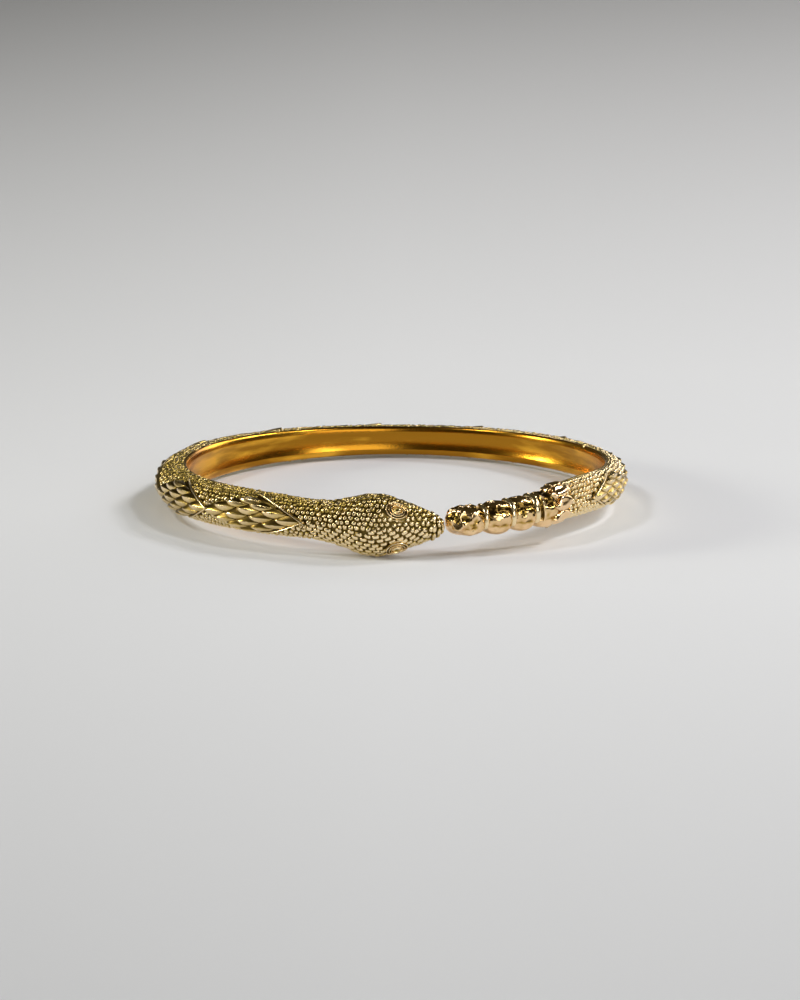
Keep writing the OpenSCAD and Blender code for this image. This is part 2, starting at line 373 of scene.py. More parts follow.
# Diamonds along the back, with the solid's places: shares are of the pitch
DIAMONDS = 10
FIRST_DIAMOND = 34.1
PITCH = 28.1
HOLLOW = 0.01
TILE = 0.2575
TILES = 4
SPREAD = 58
TWIST = -2
SIDE_LOSS = 0.25
V_EDGE = 70
V_REACH = 13.1 / PITCH
RIDGE_SHARP = 0.9


def diamond_sense(k):
    """Where a diamond's point is, and the sense in which the diamond runs from it. The last
    one is turned round and points to the rattle."""
    last = k == DIAMONDS - 1
    return (FIRST_DIAMOND + PITCH * (DIAMONDS if last else k), -1 if last else 1)


def in_diamond(at, turn, margin):
    """Which places lie in a diamond or under its V ridge, with a margin in shares of its length."""
    inside = np.zeros(at.shape, bool)
    side = np.abs(turn - TWIST)
    slope = TILE * TILES / 2 / SPREAD
    for k in range(DIAMONDS):
        start, sense = diamond_sense(k)
        share = sense * (at - start) / PITCH
        ridge = V_REACH * side / V_EDGE
        front = np.minimum(HOLLOW + slope * side, ridge)
        back = HOLLOW + TILE * TILES - slope * side
        inside |= (share > front - margin) & (share < back + margin) & (side < SPREAD + 4)
        inside |= (np.abs(share - ridge) < margin) & (side < V_EDGE)
    return inside


# ---- modelling helpers


def select_only(*parts):
    """Selects these objects alone, with the first of them active."""
    bpy.ops.object.select_all(action="DESELECT")
    for part in parts:
        part.select_set(True)
    bpy.context.view_layer.objects.active = parts[0]


def start_object(add, **sizes):
    """Adds a primitive with nothing else selected."""
    bpy.ops.object.select_all(action="DESELECT")
    add(**sizes)
    return bpy.context.object


def half_ball(segments, rings):
    """Models the upper half of a ball of radius 1, and removes the object again. Returns its
    points, and its faces turned over, because along, across and outwards are left-handed on
    the skin."""
    ball = start_object(
        bpy.ops.mesh.primitive_uv_sphere_add, segments=segments, ring_count=2 * rings, radius=1
    )
    bpy.ops.object.mode_set(mode="EDIT")
    bpy.ops.mesh.select_all(action="DESELECT")
    bpy.ops.object.mode_set(mode="OBJECT")
    for vertex in ball.data.vertices:
        vertex.select = vertex.co.z < -0.001
    bpy.ops.object.mode_set(mode="EDIT")
    bpy.ops.mesh.delete(type="VERT")
    bpy.ops.object.mode_set(mode="OBJECT")
    points = np.array([vertex.co[:] for vertex in ball.data.vertices])
    faces = [tuple(face.vertices)[::-1] for face in ball.data.polygons]
    bpy.data.objects.remove(ball)
    return points, faces


def polar(form):
    """The bearings of a half ball's points, and how far out each one is."""
    return np.arctan2(form[:, 1], form[:, 0]), np.hypot(form[:, 0], form[:, 1])


def give(obj, name, values):
    """Writes a value per point for the finish to read."""
    layer = obj.data.attributes.new(name, "FLOAT", "POINT")
    layer.data.foreach_set("value", np.asarray(values, np.float32).ravel())


def finish_piece(obj, polish=0.0, replaces=False):
    """Smooths a piece, gives it the gold and ties it to the cuff. Its wear, and the painted light
    and shade that go with it, are in it already.
    """
    if "polish" not in obj.data.attributes:
        give(obj, "polish", np.full(len(obj.data.vertices), polish))
    select_only(obj)
    bpy.ops.object.shade_smooth()
    obj.data.materials.clear()
    obj.data.materials.append(antiqued_gold())
    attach(obj, BODY)
    if replaces:
        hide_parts(NODE)


def add_object(name, data):
    obj = bpy.data.objects.new(name, data)
    bpy.context.scene.collection.objects.link(obj)
    return obj


def copies(name, points, faces, worn, skin, polish=0.0):
    """A joined mesh of many copies of a form. points holds each copy's points, in millimetres."""
    points = np.array(points)
    count, size = points.shape[:2]
    mesh = bpy.data.meshes.new(name)
    offsets = range(0, count * size, size)
    mesh.from_pydata(
        skin.place(points.reshape(-1, 3)).tolist(), [],
        [tuple(i + offset for i in face) for offset in offsets for face in faces]
    )
    obj = add_object(name, mesh)
    give(obj, "worn", np.clip(worn, 0, 1))
    finish_piece(obj, polish)


def join(name, parts):
    """Joins pieces into one with the given name."""
    select_only(*parts)
    bpy.ops.object.join()
    parts[0].name = parts[0].data.name = name
    return parts[0]


def sheet(name, points, worn, skin):
    """A grid whose points are laid where the array says: rows along it, columns across."""
    rows, columns = points.shape[:2]
    obj = start_object(
        bpy.ops.mesh.primitive_grid_add, x_subdivisions=columns - 1, y_subdivisions=rows - 1, size=1
    )
    obj.name = obj.data.name = name
    obj.data.vertices.foreach_set("co", skin.place(points.reshape(-1, 3)).ravel())
    give(obj, "worn", np.clip(worn, 0, 1))
    return obj


def weld(obj, close_ends=False):
    """Merges the edges of a sheet that lie on each other, and can close its open ends."""
    select_only(obj)
    bpy.ops.object.mode_set(mode="EDIT")
    bpy.ops.mesh.select_all(action="SELECT")
    bpy.ops.mesh.remove_doubles(threshold=0.000001)
    if close_ends:
        bpy.ops.mesh.fill_holes(sides=0)
    bpy.ops.object.mode_set(mode="OBJECT")


LINE_SIDES = 8


def line_on_skin(name, skin, at, turn, width, height, sink=0.12, closed=False, crown=1):
    """A raised line with a rounded top that follows a path of places on the skin."""
    path = skin.point(at, turn)
    out = skin.axes(at, turn)[2]
    if closed:
        tangent = np.roll(path, -1, axis=0) - np.roll(path, 1, axis=0)
        tangent[0] = tangent[-1] = path[1] - path[-2]
    else:
        tangent = np.gradient(path, axis=0)
    side = np.cross(tangent, out)
    side /= np.linalg.norm(side, axis=1, keepdims=True)
    bow = np.linspace(0, math.pi, LINE_SIDES + 1)
    width, height = (np.broadcast_to(x, at.shape)[:, None, None] for x in (width, height))
    across = -np.cos(bow)[None, :, None] * width / 2
    lift = np.sin(bow)[None, :, None] ** crown * (height + sink) - sink
    points = path[:, None] + across * side[:, None] + lift * out[:, None]
    worn = np.broadcast_to(np.sin(bow)[None, :] ** 0.7, points.shape[:2])
    line = sheet(name, points, worn.ravel(), skin)
    if closed:
        weld(line)
    return line


# ---- finish


def add_node(tree, kind, sockets, **settings):
    """Adds a shader node. Each socket takes a number, a colour or another node's output."""
    made = tree.nodes.new("ShaderNode" + kind)
    for name, value in settings.items():
        setattr(made, name, value)
    for name, value in sockets.items():
        if isinstance(value, NodeSocket):
            tree.links.new(value, made.inputs[name])
        else:
            made.inputs[name].default_value = value
    return made


def maths(tree, operation, *values, clamp=False):
    sockets = dict(enumerate(values))
    return add_node(tree, "Math", sockets, operation=operation, use_clamp=clamp).outputs[0]


def mapped(tree, value, low, high, start=0, end=1):
    """A value from start to end, as another one goes from low to high."""
    sockets = {"Value": value, "From Min": low, "From Max": high, "To Min": start, "To Max": end}
    return add_node(tree, "MapRange", sockets).outputs[0]


def mixed(tree, share, first, second, blend="MIX"):
    """A mix of two colours."""
    sockets = {0: share, 6: first, 7: second}
    return add_node(tree, "Mix", sockets, data_type="RGBA", blend_type=blend).outputs[2]


def speckle(tree, place, scale, detail):
    sockets = {"Vector": place, "Scale": scale, "Detail": detail}
    return add_node(tree, "TexNoise", sockets).outputs["Fac"]


BLOTCH_SCALE, GRAIN_SCALE = 900, 3500
STROKE_SCALE, STROKE_LEVELS = (90, 90, 500), (0.32, 0.53)
WEAR_STOPS = (0.2, 0.5, 0.88)  # of the patina, the flanks and the bright gold
BLOTCH_DEPTH = 0.5
# Where the painted shade at the back of the inner face starts and is full, in metres
BACK_SHADE_FROM, BACK_SHADE_TO = 0.014, 0.030
GRAIN_DEPTH, GRAIN_STRENGTH = 0.00006, 0.25
# Polish of the rattle, which also sets how much painted warm reflection it takes
RATTLE_POLISH_AND_TINT = 0.22


def antiqued_gold():
    """Cast gold, darkened in the grooves and worn bright on the high points; the wear also carries
    painted light and shade. A point's polish is 0 on the skin, RATTLE_POLISH_AND_TINT on the rattle
    and
    1 on the inner face, and it also sets the painted warm reflection on the rattle and the painted
    reflection on the inner face."""
    name = "antiqued gold"
    if name in bpy.data.materials:
        return bpy.data.materials[name]
    gold = bpy.context.scene.snake_gold
    material = bpy.data.materials.new(name)
    material.use_nodes = True
    tree = material.node_tree
    shader = tree.nodes["Principled BSDF"]
    shader.inputs["Metallic"].default_value = 1
    place = add_node(tree, "TexCoord", {}).outputs["Object"]
    # The wear, with the painted light and shade in it
    worn = add_node(tree, "Attribute", {}, attribute_name="worn").outputs["Fac"]
    polish = add_node(tree, "Attribute", {}, attribute_name="polish").outputs["Fac"]
    blotches = speckle(tree, place, BLOTCH_SCALE, 4)
    blotches = maths(tree, "MULTIPLY_ADD", blotches, BLOTCH_DEPTH, -BLOTCH_DEPTH / 2)
    wear_and_light = maths(tree, "ADD", worn, blotches, clamp=True)
    ramp = add_node(tree, "ValToRGB", {"Fac": wear_and_light})
    stops = ramp.color_ramp.elements
    stops[0].position, stops[0].color = WEAR_STOPS[0], gold.patina
    stops[1].position, stops[1].color = WEAR_STOPS[2], gold.bright
    stops.new(WEAR_STOPS[1]).color = gold.middle
    # Painted warm reflection, as much as the polish of the rattle and its parts
    with_warm_reflection = mixed(tree, mapped(tree, polish, 0, RATTLE_POLISH_AND_TINT), ramp.outputs["Color"], gold.warm_reflection_tint,
                   "MULTIPLY")

    # The inner face: strokes along the ring, and painted shade that darkens it at the back
    along = add_node(tree, "Mapping", {"Vector": place, "Scale": STROKE_SCALE}).outputs["Vector"]
    depth = add_node(tree, "SeparateXYZ", {0: place}).outputs["Y"]
    back = mapped(tree, depth, BACK_SHADE_FROM, BACK_SHADE_TO, 0, -0.25)
    strokes_and_back_shade = maths(tree, "ADD", speckle(tree, along, 1, 3), back)
    strokes_and_back_shade = mapped(tree, strokes_and_back_shade, *STROKE_LEVELS)
    rubbed_with_painted_light = mixed(tree, strokes_and_back_shade, gold.streaks, gold.inner_gold_and_reflection)
    on_inside = mapped(tree, polish, RATTLE_POLISH_AND_TINT, 1)
    tree.links.new(mixed(tree, on_inside, with_warm_reflection, rubbed_with_painted_light), shader.inputs["Base Color"])

    rough = mapped(tree, wear_and_light, 0, 1, gold.patina_roughness, gold.worn_roughness)
    gloss = mapped(tree, polish, 0, RATTLE_POLISH_AND_TINT, 1, gold.polished_gloss)
    satin = mapped(tree, polish, 0.5, 1, 0, 0.5)
    sheen = maths(tree, "MULTIPLY", rough, maths(tree, "ADD", gloss, satin))
    tree.links.new(sheen, shader.inputs["Roughness"])
    grain = speckle(tree, place, GRAIN_SCALE, 3)
    dents = {"Strength": GRAIN_STRENGTH, "Distance": GRAIN_DEPTH, "Height": grain}
    dents = add_node(tree, "Bump", dents)
    tree.links.new(dents.outputs["Normal"], shader.inputs["Normal"])
    return material


# ---- cast body

RING_SIDES = 120
NOSE_ROWS = (0, 0.15, 0.3)
RELIEF_FROM = 322.0
SECTION_STEP = 1.0
RELIEF_STEP = 0.16
# Degrees round a section, past the edge of the granules: where their ground rises to the
# smooth rim, and where the polish of the inner face sets in
RIM_RISE, POLISH_RISE = (-3, 6), (10, 22)
RIM_WORN = 0.75


def bell(x, middle, reach):
    """A smooth bump, 1 in the middle and 0 at its reach."""
    t = np.clip(np.abs(x - middle) / reach, 0, 1)
    return (1 - t * t) ** 2


def rise_between(x, low, high):
    t = np.clip((x - low) / (high - low), 0, 1)
    return t * t * (3 - 2 * t)


def hollows(points, size, seed):
    """Uneven hollows with sharp rims, as in a hand-worked wax: the distance to scattered
    places, from 0 in a hollow to 1 on its rim."""
    places = points / size + (seed, 0, 0)
    return np.clip([noise.voronoi(Vector(place))[0][0] for place in places], 0, 1)


# Lobes of a segment: turn, reach in degrees, height
LOBES = ((64, 36, 0.3), (0, 30, 0.3), (-58, 34, 0.46))
# The dark throat between the petals and the first collar: place, reach, from and to which turn
THROAT = (332.9, 2.0, 8, 92)
# Lumps of the tip: place, turn, reach along, reach round, height
TIP_LUMPS = ((356.6, -14, 2.2, 34, 0.3), (352.6, 28, 2.6, 30, 0.3), (353.4, -48, 3.0, 30, 0.24),
             (356.2, 52, 2.4, 36, 0.2), (351.2, -6, 1.3, 22, 0.3))
# The dark slot behind the first collar: place, half-width in degrees, from and to which turn
SLOT_CUT = (335.05, 0.5, -30, 22)
THROAT_DEPTH, SLOT_DEPTH = 0.4, 0.35
LOBE_FOOT = 0.13
# Coarse and fine hollows: size, seed
PITS = ((1.15, 7), (0.6, 31))
PIT_LEVEL = 0.45


def rattle_relief(skin, at, turn, points):
    """Height of the rattle's lobes, notches and hollows over the plain segments."""
    relief = np.zeros(at.shape)
    outer = 1 - rise_between(np.abs(turn), 105, 135)
    for start, end, _, _ in segment_rows(skin.c):
        share = (at - start) / (end - start)
        inside = (share > 0) & (share <= 1)
        if start == TIP_START:
            for lump_at, lump_turn, long, high, lump in TIP_LUMPS:
                relief += inside * lump * bell(at, lump_at, long) * bell(turn, lump_turn, high)
            continue
        fade = bell(share, 0.52, 0.62) ** 0.8
        lobes = sum(high * bell(turn, middle, reach) ** 0.75 for middle, reach, high in LOBES)
        relief += inside * fade * (lobes - LOBE_FOOT)
    pitted = rise_between(turn, -66, -34)
    coarse, fine = (hollows(points, size, seed) - PIT_LEVEL for size, seed in PITS)
    busy = bell(turn, -4, 56)
    throat_at, reach, low, high = THROAT
    throat = bell(at, throat_at, reach) * rise_between(turn, low, low + 14)
    throat = throat * (1 - rise_between(turn, high - 14, high))
    tip = rise_between(at, TIP_START, TIP_START + 2)
    zone = rise_between(at, 332.5, 334) * outer * (0.15 + 0.85 * pitted) * (0.5 + 0.5 * tip)
    slot_at, half, low, high = SLOT_CUT
    slot = (np.abs(at - slot_at) < half) & (turn > low) & (turn < high)
    return (relief * outer + zone * (0.4 + 0.35 * busy) * (coarse + 0.35 * fine)
            - SLOT_DEPTH * slot - THROAT_DEPTH * throat)


def rattle_wear_and_reflection(relief, turn):
    """Wear of the rattle: its hollows stay dark, and the lower side is painted bright all over, as
    a painted reflection of the floor.
    """
    raised = 0.1 + 0.7 * rise_between(relief - 0.16 * bell(turn, 25, 60), -0.22, 0.08)
    return np.maximum(raised, 0.85 * rise_between(-turn, 18, 34))


class SNAKECUFF_OT_body(Operator):
    """Cast body: the ring with its channel, head and rattle, under the scales"""

    bl_idname = "snakecuff.body"
    bl_label = "Cast body"

    def execute(self, context):
        skin = Skin()
        ground = in_mm("snake_granules").ground
        plain = np.arange(0.5, RELIEF_FROM, SECTION_STEP)
        fine = np.arange(RELIEF_FROM, skin.tail_end - 0.1, RELIEF_STEP)
        ats = np.concatenate([NOSE_ROWS, plain, fine, [skin.tail_end]])
        turns = np.empty((len(ats), RING_SIDES + 1))
        for i, row in enumerate(skin.row_of(ats)):
            reach = skin.reaches[row]
            even = np.linspace(reach[0], reach[-1], RING_SIDES + 1)
            turns[i] = np.interp(even, reach, skin.TURNS)
        at = np.repeat(ats, RING_SIDES + 1)
        turn = turns.ravel()
        points = skin.point(at, turn)

        past_edge = np.abs(turn) - edge_turn(at)
        covered = 1 - rise_between(past_edge, *RIM_RISE)
        on_rattle = rise_between(at, GRAIN_END + 0.5, GRAIN_END + 3)
        grainy = covered * rise_between(at, 0.6, 2.0) * (1 - on_rattle)
        tail = at > TAIL_ROOT
        relief = np.zeros(at.shape)
        relief[tail] = rattle_relief(skin, at[tail], turn[tail], points[tail])
        points = skin.raised(at, turn, relief - ground * grainy)
        inside = rise_between(past_edge, *POLISH_RISE)
        # Painted light from the right: the ground is painted lighter towards the tail
        ground_patina_and_tail_light = 0.02 + 0.22 * rise_between(at, 240, 300)
        worn = np.where(grainy > 0.5, ground_patina_and_tail_light, RIM_WORN)
        worn = np.maximum(np.where(tail, rattle_wear_and_reflection(relief, turn), worn), inside)
        ring = sheet("cast_body", points.reshape(len(ats), -1, 3), worn, skin)
        give(ring, "polish", np.maximum(inside, RATTLE_POLISH_AND_TINT * tail))
        weld(ring, close_ends=True)
        finish_piece(ring, replaces=True)
        return {"FINISHED"}


# ---- granules

# Where the rows of scales along each jaw give way to granules: side of the head, turn
JAW_LINES = {-1: -4, 1: 62}
JAW_FROM, JAW_TO = 3.9, 33.0
JAW_ROWS = 16
# Where the first row lies, in rows; how far granules run on over the jaws' rows, and how
# near to one of their scales a granule may be
JAW_FIRST, JAW_LAP, JAW_CLEARANCE = 0.35, 0.1, 0.35
SNOUT_END, GRAIN_END = 3.25, 326.5
EYE_AT = 11.5
EYE_TURNS = (40, -50)
# Bare margins: shares of a diamond's length, an eye's ring and a petal
DIAMOND_MARGIN, EYE_MARGIN, PETAL_MARGIN = 0.026, 1.07, 1.06
# Rows of granules on each side of the back's middle line, and their spacing in pitches
ROWS, ROW_STEP = 12, 0.87
NEIGHBOURS = 10
LEAST_REACH = 0.08
BATCH = 400
SEED = 5
# Shares of the granule height, of a scale on the jaws too; powers of a jaw scale's outline
# and of how the wear fades; how far a granule sinks, and stands over the skin at the most
HEIGHTS, JAW_HEIGHT = (0.78, 1.2), 0.92
TILT, JAW_TILT = 0.25, 0.5
JAW_OUTLINE, WEAR_FADE = 4, 1.25
SINK, PROUD = 0.02, 0.1
# How far a jaw scale strays along and across its row, in its own lengths and widths
JAW_STRAY = (0.06, 0.05)
# On the body, and what the tail adds: stray and widest reach in pitches, power of the crown
JITTER, TAIL_JITTER = 0.2, 0.02
REACH_CAP, TAIL_CAP = 0.7, -0.18
CROWN, TAIL_CROWN, JAW_CROWN = 0.56, 0.26, 0.22
# How much the granules grow on the tail, how much narrower they are along the ring, and how much
# lighter they are painted there, as painted light from the right
TAIL_GROWTH, TAIL_SQUEEZE, TAIL_PAINTED_LIGHT = 0.16, 0.13, 0.75
# How much painted shade darkens the upper side of the granules
UPPER_PAINTED_SHADE = 0.55


def near_eye(skin, at, turn, grow):
    """Which places lie within an eye's outer ring, grown by a factor."""
    long = skin.c.eye_l / 2 * grow
    high = skin.c.eye_w / 2 * grow
    near = np.zeros(at.shape, bool)
    for eye_turn in EYE_TURNS:
        middle = skin.point(EYE_AT, eye_turn)
        along, across, _ = skin.axes(EYE_AT, eye_turn)
        away = skin.point(at, turn) - middle
        near |= (away @ along / long) ** 2 + (away @ across / high) ** 2 < 1
    return near


def edge_turn(at):
    """The turn where the small scales end: they reach over the head, and stop at the rim of
    the smooth inner face elsewhere."""
    return 112 - 13 * rise_between(at, 22, 45) - 5 * rise_between(at, 100, 150)


def in_petals(at, turn, grow):
    """Which places lie under the rounded roots of the petals, grown by a factor."""
    inside = np.zeros(at.shape, bool)
    for middle in PETAL_TURNS:
        p, q = np.abs(at - PETAL_AT) / PETAL_LONG, np.abs(turn - middle) / PETAL_HIGH
        inside |= p ** PETAL_ROUND + q ** PETAL_ROUND < grow ** PETAL_ROUND
    return inside


def on_tail(at):
    """From 0 on the body to 1 on the tail, where the granules are wider, more worn and painted
    lighter, as painted light from the right.
    """
    return rise_between(at, 230, 290)


def granule_pitch(g, at):
    pitch = g.head_pitch + (g.body_pitch - g.head_pitch) * rise_between(at, 26, 42)
    return pitch * (1 + TAIL_GROWTH * on_tail(at))


def granule_places(skin, g, rng):
    """Places of the small scales: at, turn, kind (1 on the jaws) and the slant of their row."""
    step = 0.05
    fine = np.arange(0.0, GRAIN_END, step)
    pitch = granule_pitch(g, fine)
    arc = (skin.inner_r + 0.75 * skin.size(fine, DEEP)) * DEG * step
    count = np.cumsum(arc / pitch)
    places = []
    # Staggered rows over the back, as far as the jaws' rows
    for row in range(-ROWS, ROWS + 1):
        numbers = np.arange(0.5 + 0.5 * (row % 2), count[-1], 1.0)
        at = np.interp(numbers, count, fine)
        local = np.interp(at, fine, pitch)
        reach = row * ROW_STEP * local
        edge = edge_turn(at)
        keep = (reach > skin.reach(at, -edge)) & (reach < skin.reach(at, edge))
        on_jaw = (at > JAW_FROM) & (at < JAW_TO)
        under = skin.reach(at, JAW_LINES[-1]) - JAW_LAP
        over = skin.reach(at, JAW_LINES[1]) + JAW_LAP
        keep &= ~on_jaw | ((reach > under) & (reach < over))
        at, reach, local = at[keep], reach[keep], local[keep]
        stray = (JITTER + TAIL_JITTER * on_tail(at)) * local
        at = at + rng.uniform(-1, 1, len(at)) * stray / (skin.inner_r * DEG)
        reach = reach + rng.uniform(-1, 1, len(at)) * stray
        nought = np.zeros(len(at))
        places.append((at, skin.turn_at(at, reach), nought, nought))
    # Rows along the jaws, counted from their edges
    per_at = (skin.inner_r + 3) * DEG
    step = g.brick_l / per_at
    for side, line in JAW_LINES.items():

        def edge_reach(at):
            return skin.reach(at, side * edge_turn(at))

        for row in range(JAW_ROWS):
            at = np.arange(JAW_FROM + 0.5 * step * (row % 2), JAW_TO, step)
            along, across = JAW_STRAY
            at = at + rng.uniform(-along, along, len(at)) * step
            down = g.brick_w * (row + JAW_FIRST + rng.uniform(-across, across, len(at)))
            reach = edge_reach(at) - side * down
            keep = side * reach > side * skin.reach(at, line)
            slant = np.arctan2(edge_reach(at + 0.5) - edge_reach(at - 0.5), per_at)
            at, reach, slant = at[keep], reach[keep], slant[keep]
            places.append((at, skin.turn_at(at, reach), np.ones(len(at)), slant))
    places = np.hstack(places)
    at, turn = places[:2]
    keep = ~in_diamond(at, turn, DIAMOND_MARGIN) & ~near_eye(skin, at, turn, EYE_MARGIN)
    keep &= (at > SNOUT_END) & (at < GRAIN_END) & ~in_petals(at, turn, PETAL_MARGIN)
    places = places[:, keep]
    at, turn, kind = places[:3]
    points = skin.point(at, turn)
    kept = np.ones(len(at), bool)
    for i in np.flatnonzero((kind == 0) & (at <= JAW_TO + 2)):
        gap = np.linalg.norm(points[kind == 1] - points[i], axis=1).min()
        kept[i] = gap > JAW_CLEARANCE
    return places[:, kept]


def cells(points, along, across, cap, directions, gap):
    """How far a granule reaches in each direction before it meets the next ones."""
    count = len(points)
    reach = np.empty((count, len(directions)))
    for start in range(0, count, BATCH):
        block = slice(start, start + BATCH)
        away = points[None, :, :] - points[block, None, :]
        far = np.einsum("ijk,ijk->ij", away, away)
        near = np.argpartition(far, NEIGHBOURS, axis=1)[:, : NEIGHBOURS + 1]
        rows = np.arange(near.shape[0])[:, None]
        offset = away[rows, near]
        x = np.einsum("ijk,ik->ij", offset, along[block])
        y = np.einsum("ijk,ik->ij", offset, across[block])
        d = np.hypot(x, y)
        own = d < 1e-6
        d[own] = 1e6
        bearing = np.arctan2(y, x)
        facing = np.cos(directions[None, None, :] - bearing[:, :, None])
        push = np.maximum(facing, 0) / (d[:, :, None] / 2)
        push[own] = 0
        power = 8.0
        limit = (1 / cap[block])[:, None] ** power
        reach[block] = (np.sum(push ** power, axis=1) + limit) ** (-1 / power)
    return np.maximum(reach - gap / 2, LEAST_REACH)


class SNAKECUFF_OT_granules(Operator):
    """Granules: the small round scales of the head, neck and flanks, and the rows on the jaws"""

    bl_idname = "snakecuff.granules"
    bl_label = "Granules"

    def execute(self, context):
        skin = Skin()
        g = in_mm("snake_granules")
        rng = np.random.default_rng(SEED)
        form, faces = half_ball(12, 4)
        at, turn, kind, slant = granule_places(skin, g, rng)
        brick = (kind == 1)[:, None]
        points = skin.point(at, turn)
        along, across, out = skin.axes(at, turn)
        c, s = np.cos(slant)[:, None], np.sin(slant)[:, None]
        along, across = c * along + s * across, c * across - s * along
        pitch = granule_pitch(g, at)
        tail = on_tail(at)
        bearing, spoke = polar(form)
        cap = (REACH_CAP + TAIL_CAP * tail) * pitch
        reach = cells(points, along, across, cap, bearing, g.gap)
        long, high = (g.brick_l - g.gap) / 2, (g.brick_w - g.gap) / 2
        box = (np.cos(bearing) / long) ** JAW_OUTLINE + (np.sin(bearing) / high) ** JAW_OUTLINE
        box = box ** (-1 / JAW_OUTLINE)
        reach = np.where(brick, np.minimum(box, 1.25 * reach), reach + 0.015 * tail[:, None])
        height = g.granule_h * rng.uniform(*HEIGHTS, len(at)) * np.where(kind == 1, JAW_HEIGHT, 1)
        crown = form[:, 2] ** np.where(brick, JAW_CROWN, CROWN + TAIL_CROWN * tail[:, None])
        tilt = rng.normal(0, TILT, (2, len(at), 1)) * np.where(brick, JAW_TILT, 1)
        slope = 1 + tilt[0] * form[:, 0] + tilt[1] * form[:, 1]
        x = reach * spoke * np.cos(bearing) * (1 - TAIL_SQUEEZE * tail[:, None])
        y = reach * spoke * np.sin(bearing)
        z = np.minimum(height[:, None] * crown * slope - g.ground - SINK, PROUD)
        laid = (points[:, None] + x[..., None] * along[:, None]
                + y[..., None] * across[:, None] + z[..., None] * out[:, None])
        worn = np.clip(crown * slope, 0, 1.2) ** WEAR_FADE
        # Painted light from the right: the tail's granules are painted lighter
        worn = worn + (1 - worn) * TAIL_PAINTED_LIGHT * tail[:, None]
        # The upper side is painted darker, as painted shade, from the head to the left of the ring
        shaded = rise_between(turn, -5, 55) * (0.65 + 0.35 * rise_between(at, 18, 40))
        shaded = shaded * (1 - rise_between(at, 95, 130))
        painted_shade = 1 - UPPER_PAINTED_SHADE * shaded * rng.uniform(0.3, 1, len(at))
        worn = worn * painted_shade[:, None]
        for name, start, end in (("head", 0, 32), ("left", 32, 180), ("right", 180, 360)):
            band = (at >= start) & (at < end)
            copies(f"{name}_granules", laid[band], faces, worn[band], skin)
        return {"FINISHED"}


# ---- large scales

FOOT = 0.99  # how far out a scale's foot starts, which is sunk in the skin
LEAF_RISE = 1.38  # of the solid's scale height, before the peak is rounded
PEAK_ROUND = 0.27
BRIM, KEEL_FROM = 0.05, 0.25  # shares of the leaf's height
PEAK = 0.4  # place of the peak, from -1 to 1 along the leaf
CORNER, SKEW = 1.65, 0.38
UPPER_FACE, LOWER_FACE = 1.35, 0.42  # over 1 is hollow, under 1 is full
LEAF_SINK = 0.3
LEAF_FILL = 0.94
# Painted light from the right: how much lighter the scales are painted on the tail
TAIL_LEAF_LIGHT = 0.28


def footprint(form, corner, skew=0):
    """Lays a half ball's points out over a rhomb, an oval or a box, for a corner of 1, 2 or
    more. Returns their two places, and how far out each one is."""
    bearing, spoke = polar(form)
    bearing = bearing - skew * np.sin(2 * bearing)
    p, q = np.abs(np.cos(bearing)), np.abs(np.sin(bearing))
    outline = (p ** corner + q ** corner) ** (-1 / corner)
    return spoke * outline * np.cos(bearing), spoke * outline * np.sin(bearing), spoke


def leaf_points(form, skin, at, turn, long, high, height):
    """A keeled leaf like a small roof: rhombic with rounded corners, its keel rises to a peak
    near its far end. Returns the points and their wear, with painted shade on the upper face and a
    painted reflection on the lower face."""
    p, q, spoke = footprint(form, CORNER, SKEW)
    before = np.clip((p + 1) / (1 + PEAK), 0, 1)
    behind = np.clip((p - PEAK) / (1 - PEAK), 0, 1)
    keel = KEEL_FROM + (1 - KEEL_FROM) * before ** 1.3 - behind ** 2
    half = np.maximum(1 - np.abs(p) ** CORNER, 1e-4) ** (1 / CORNER)
    slope = np.clip(1 - np.abs(q) / half, 0, 1)
    roof = np.clip(keel * slope ** np.where(q > 0, UPPER_FACE, LOWER_FACE), 0, 1)
    roof = roof - PEAK_ROUND * roof ** 3
    foot = spoke > FOOT
    rise = np.where(foot, -LEAF_SINK, height * (BRIM + (1 - BRIM) * roof))
    # Painted shade darkens the upper face and a painted reflection lightens the lower face, over
    # the keel's wear
    worn = np.where(q > 0.04, 0.02 + 0.9 * keel * slope ** 3.5, 0.47 + 0.6 * roof ** 1.2)
    return skin.raised(at + p * long, turn + q * high, rise), np.where(foot, 0.05, worn)


def petal_points(form, skin, turn, depth):
    """A petal: pointed towards the rattle's tip and round at its root, with a raised rim."""
    p, q, spoke = footprint(form, np.where(form[:, 0] > 0, PETAL_POINT, PETAL_ROUND))
    hollow = depth * bell(np.hypot(1.15 * (p + 0.1), 1.3 * (q - 0.12)), 0, 0.85)
    rise = (0.75 + 0.3 * p) * (1 - hollow) * (1 - 0.25 * rise_between(spoke, 0.8, 0.97))
    foot = spoke > FOOT
    rise = np.where(foot, -PETAL_SINK, skin.c.petal_h * rise)
    worn = 0.95 - 0.75 * hollow - 0.5 * foot
    return skin.raised(PETAL_AT + p * PETAL_LONG, turn + q * PETAL_HIGH, rise), worn


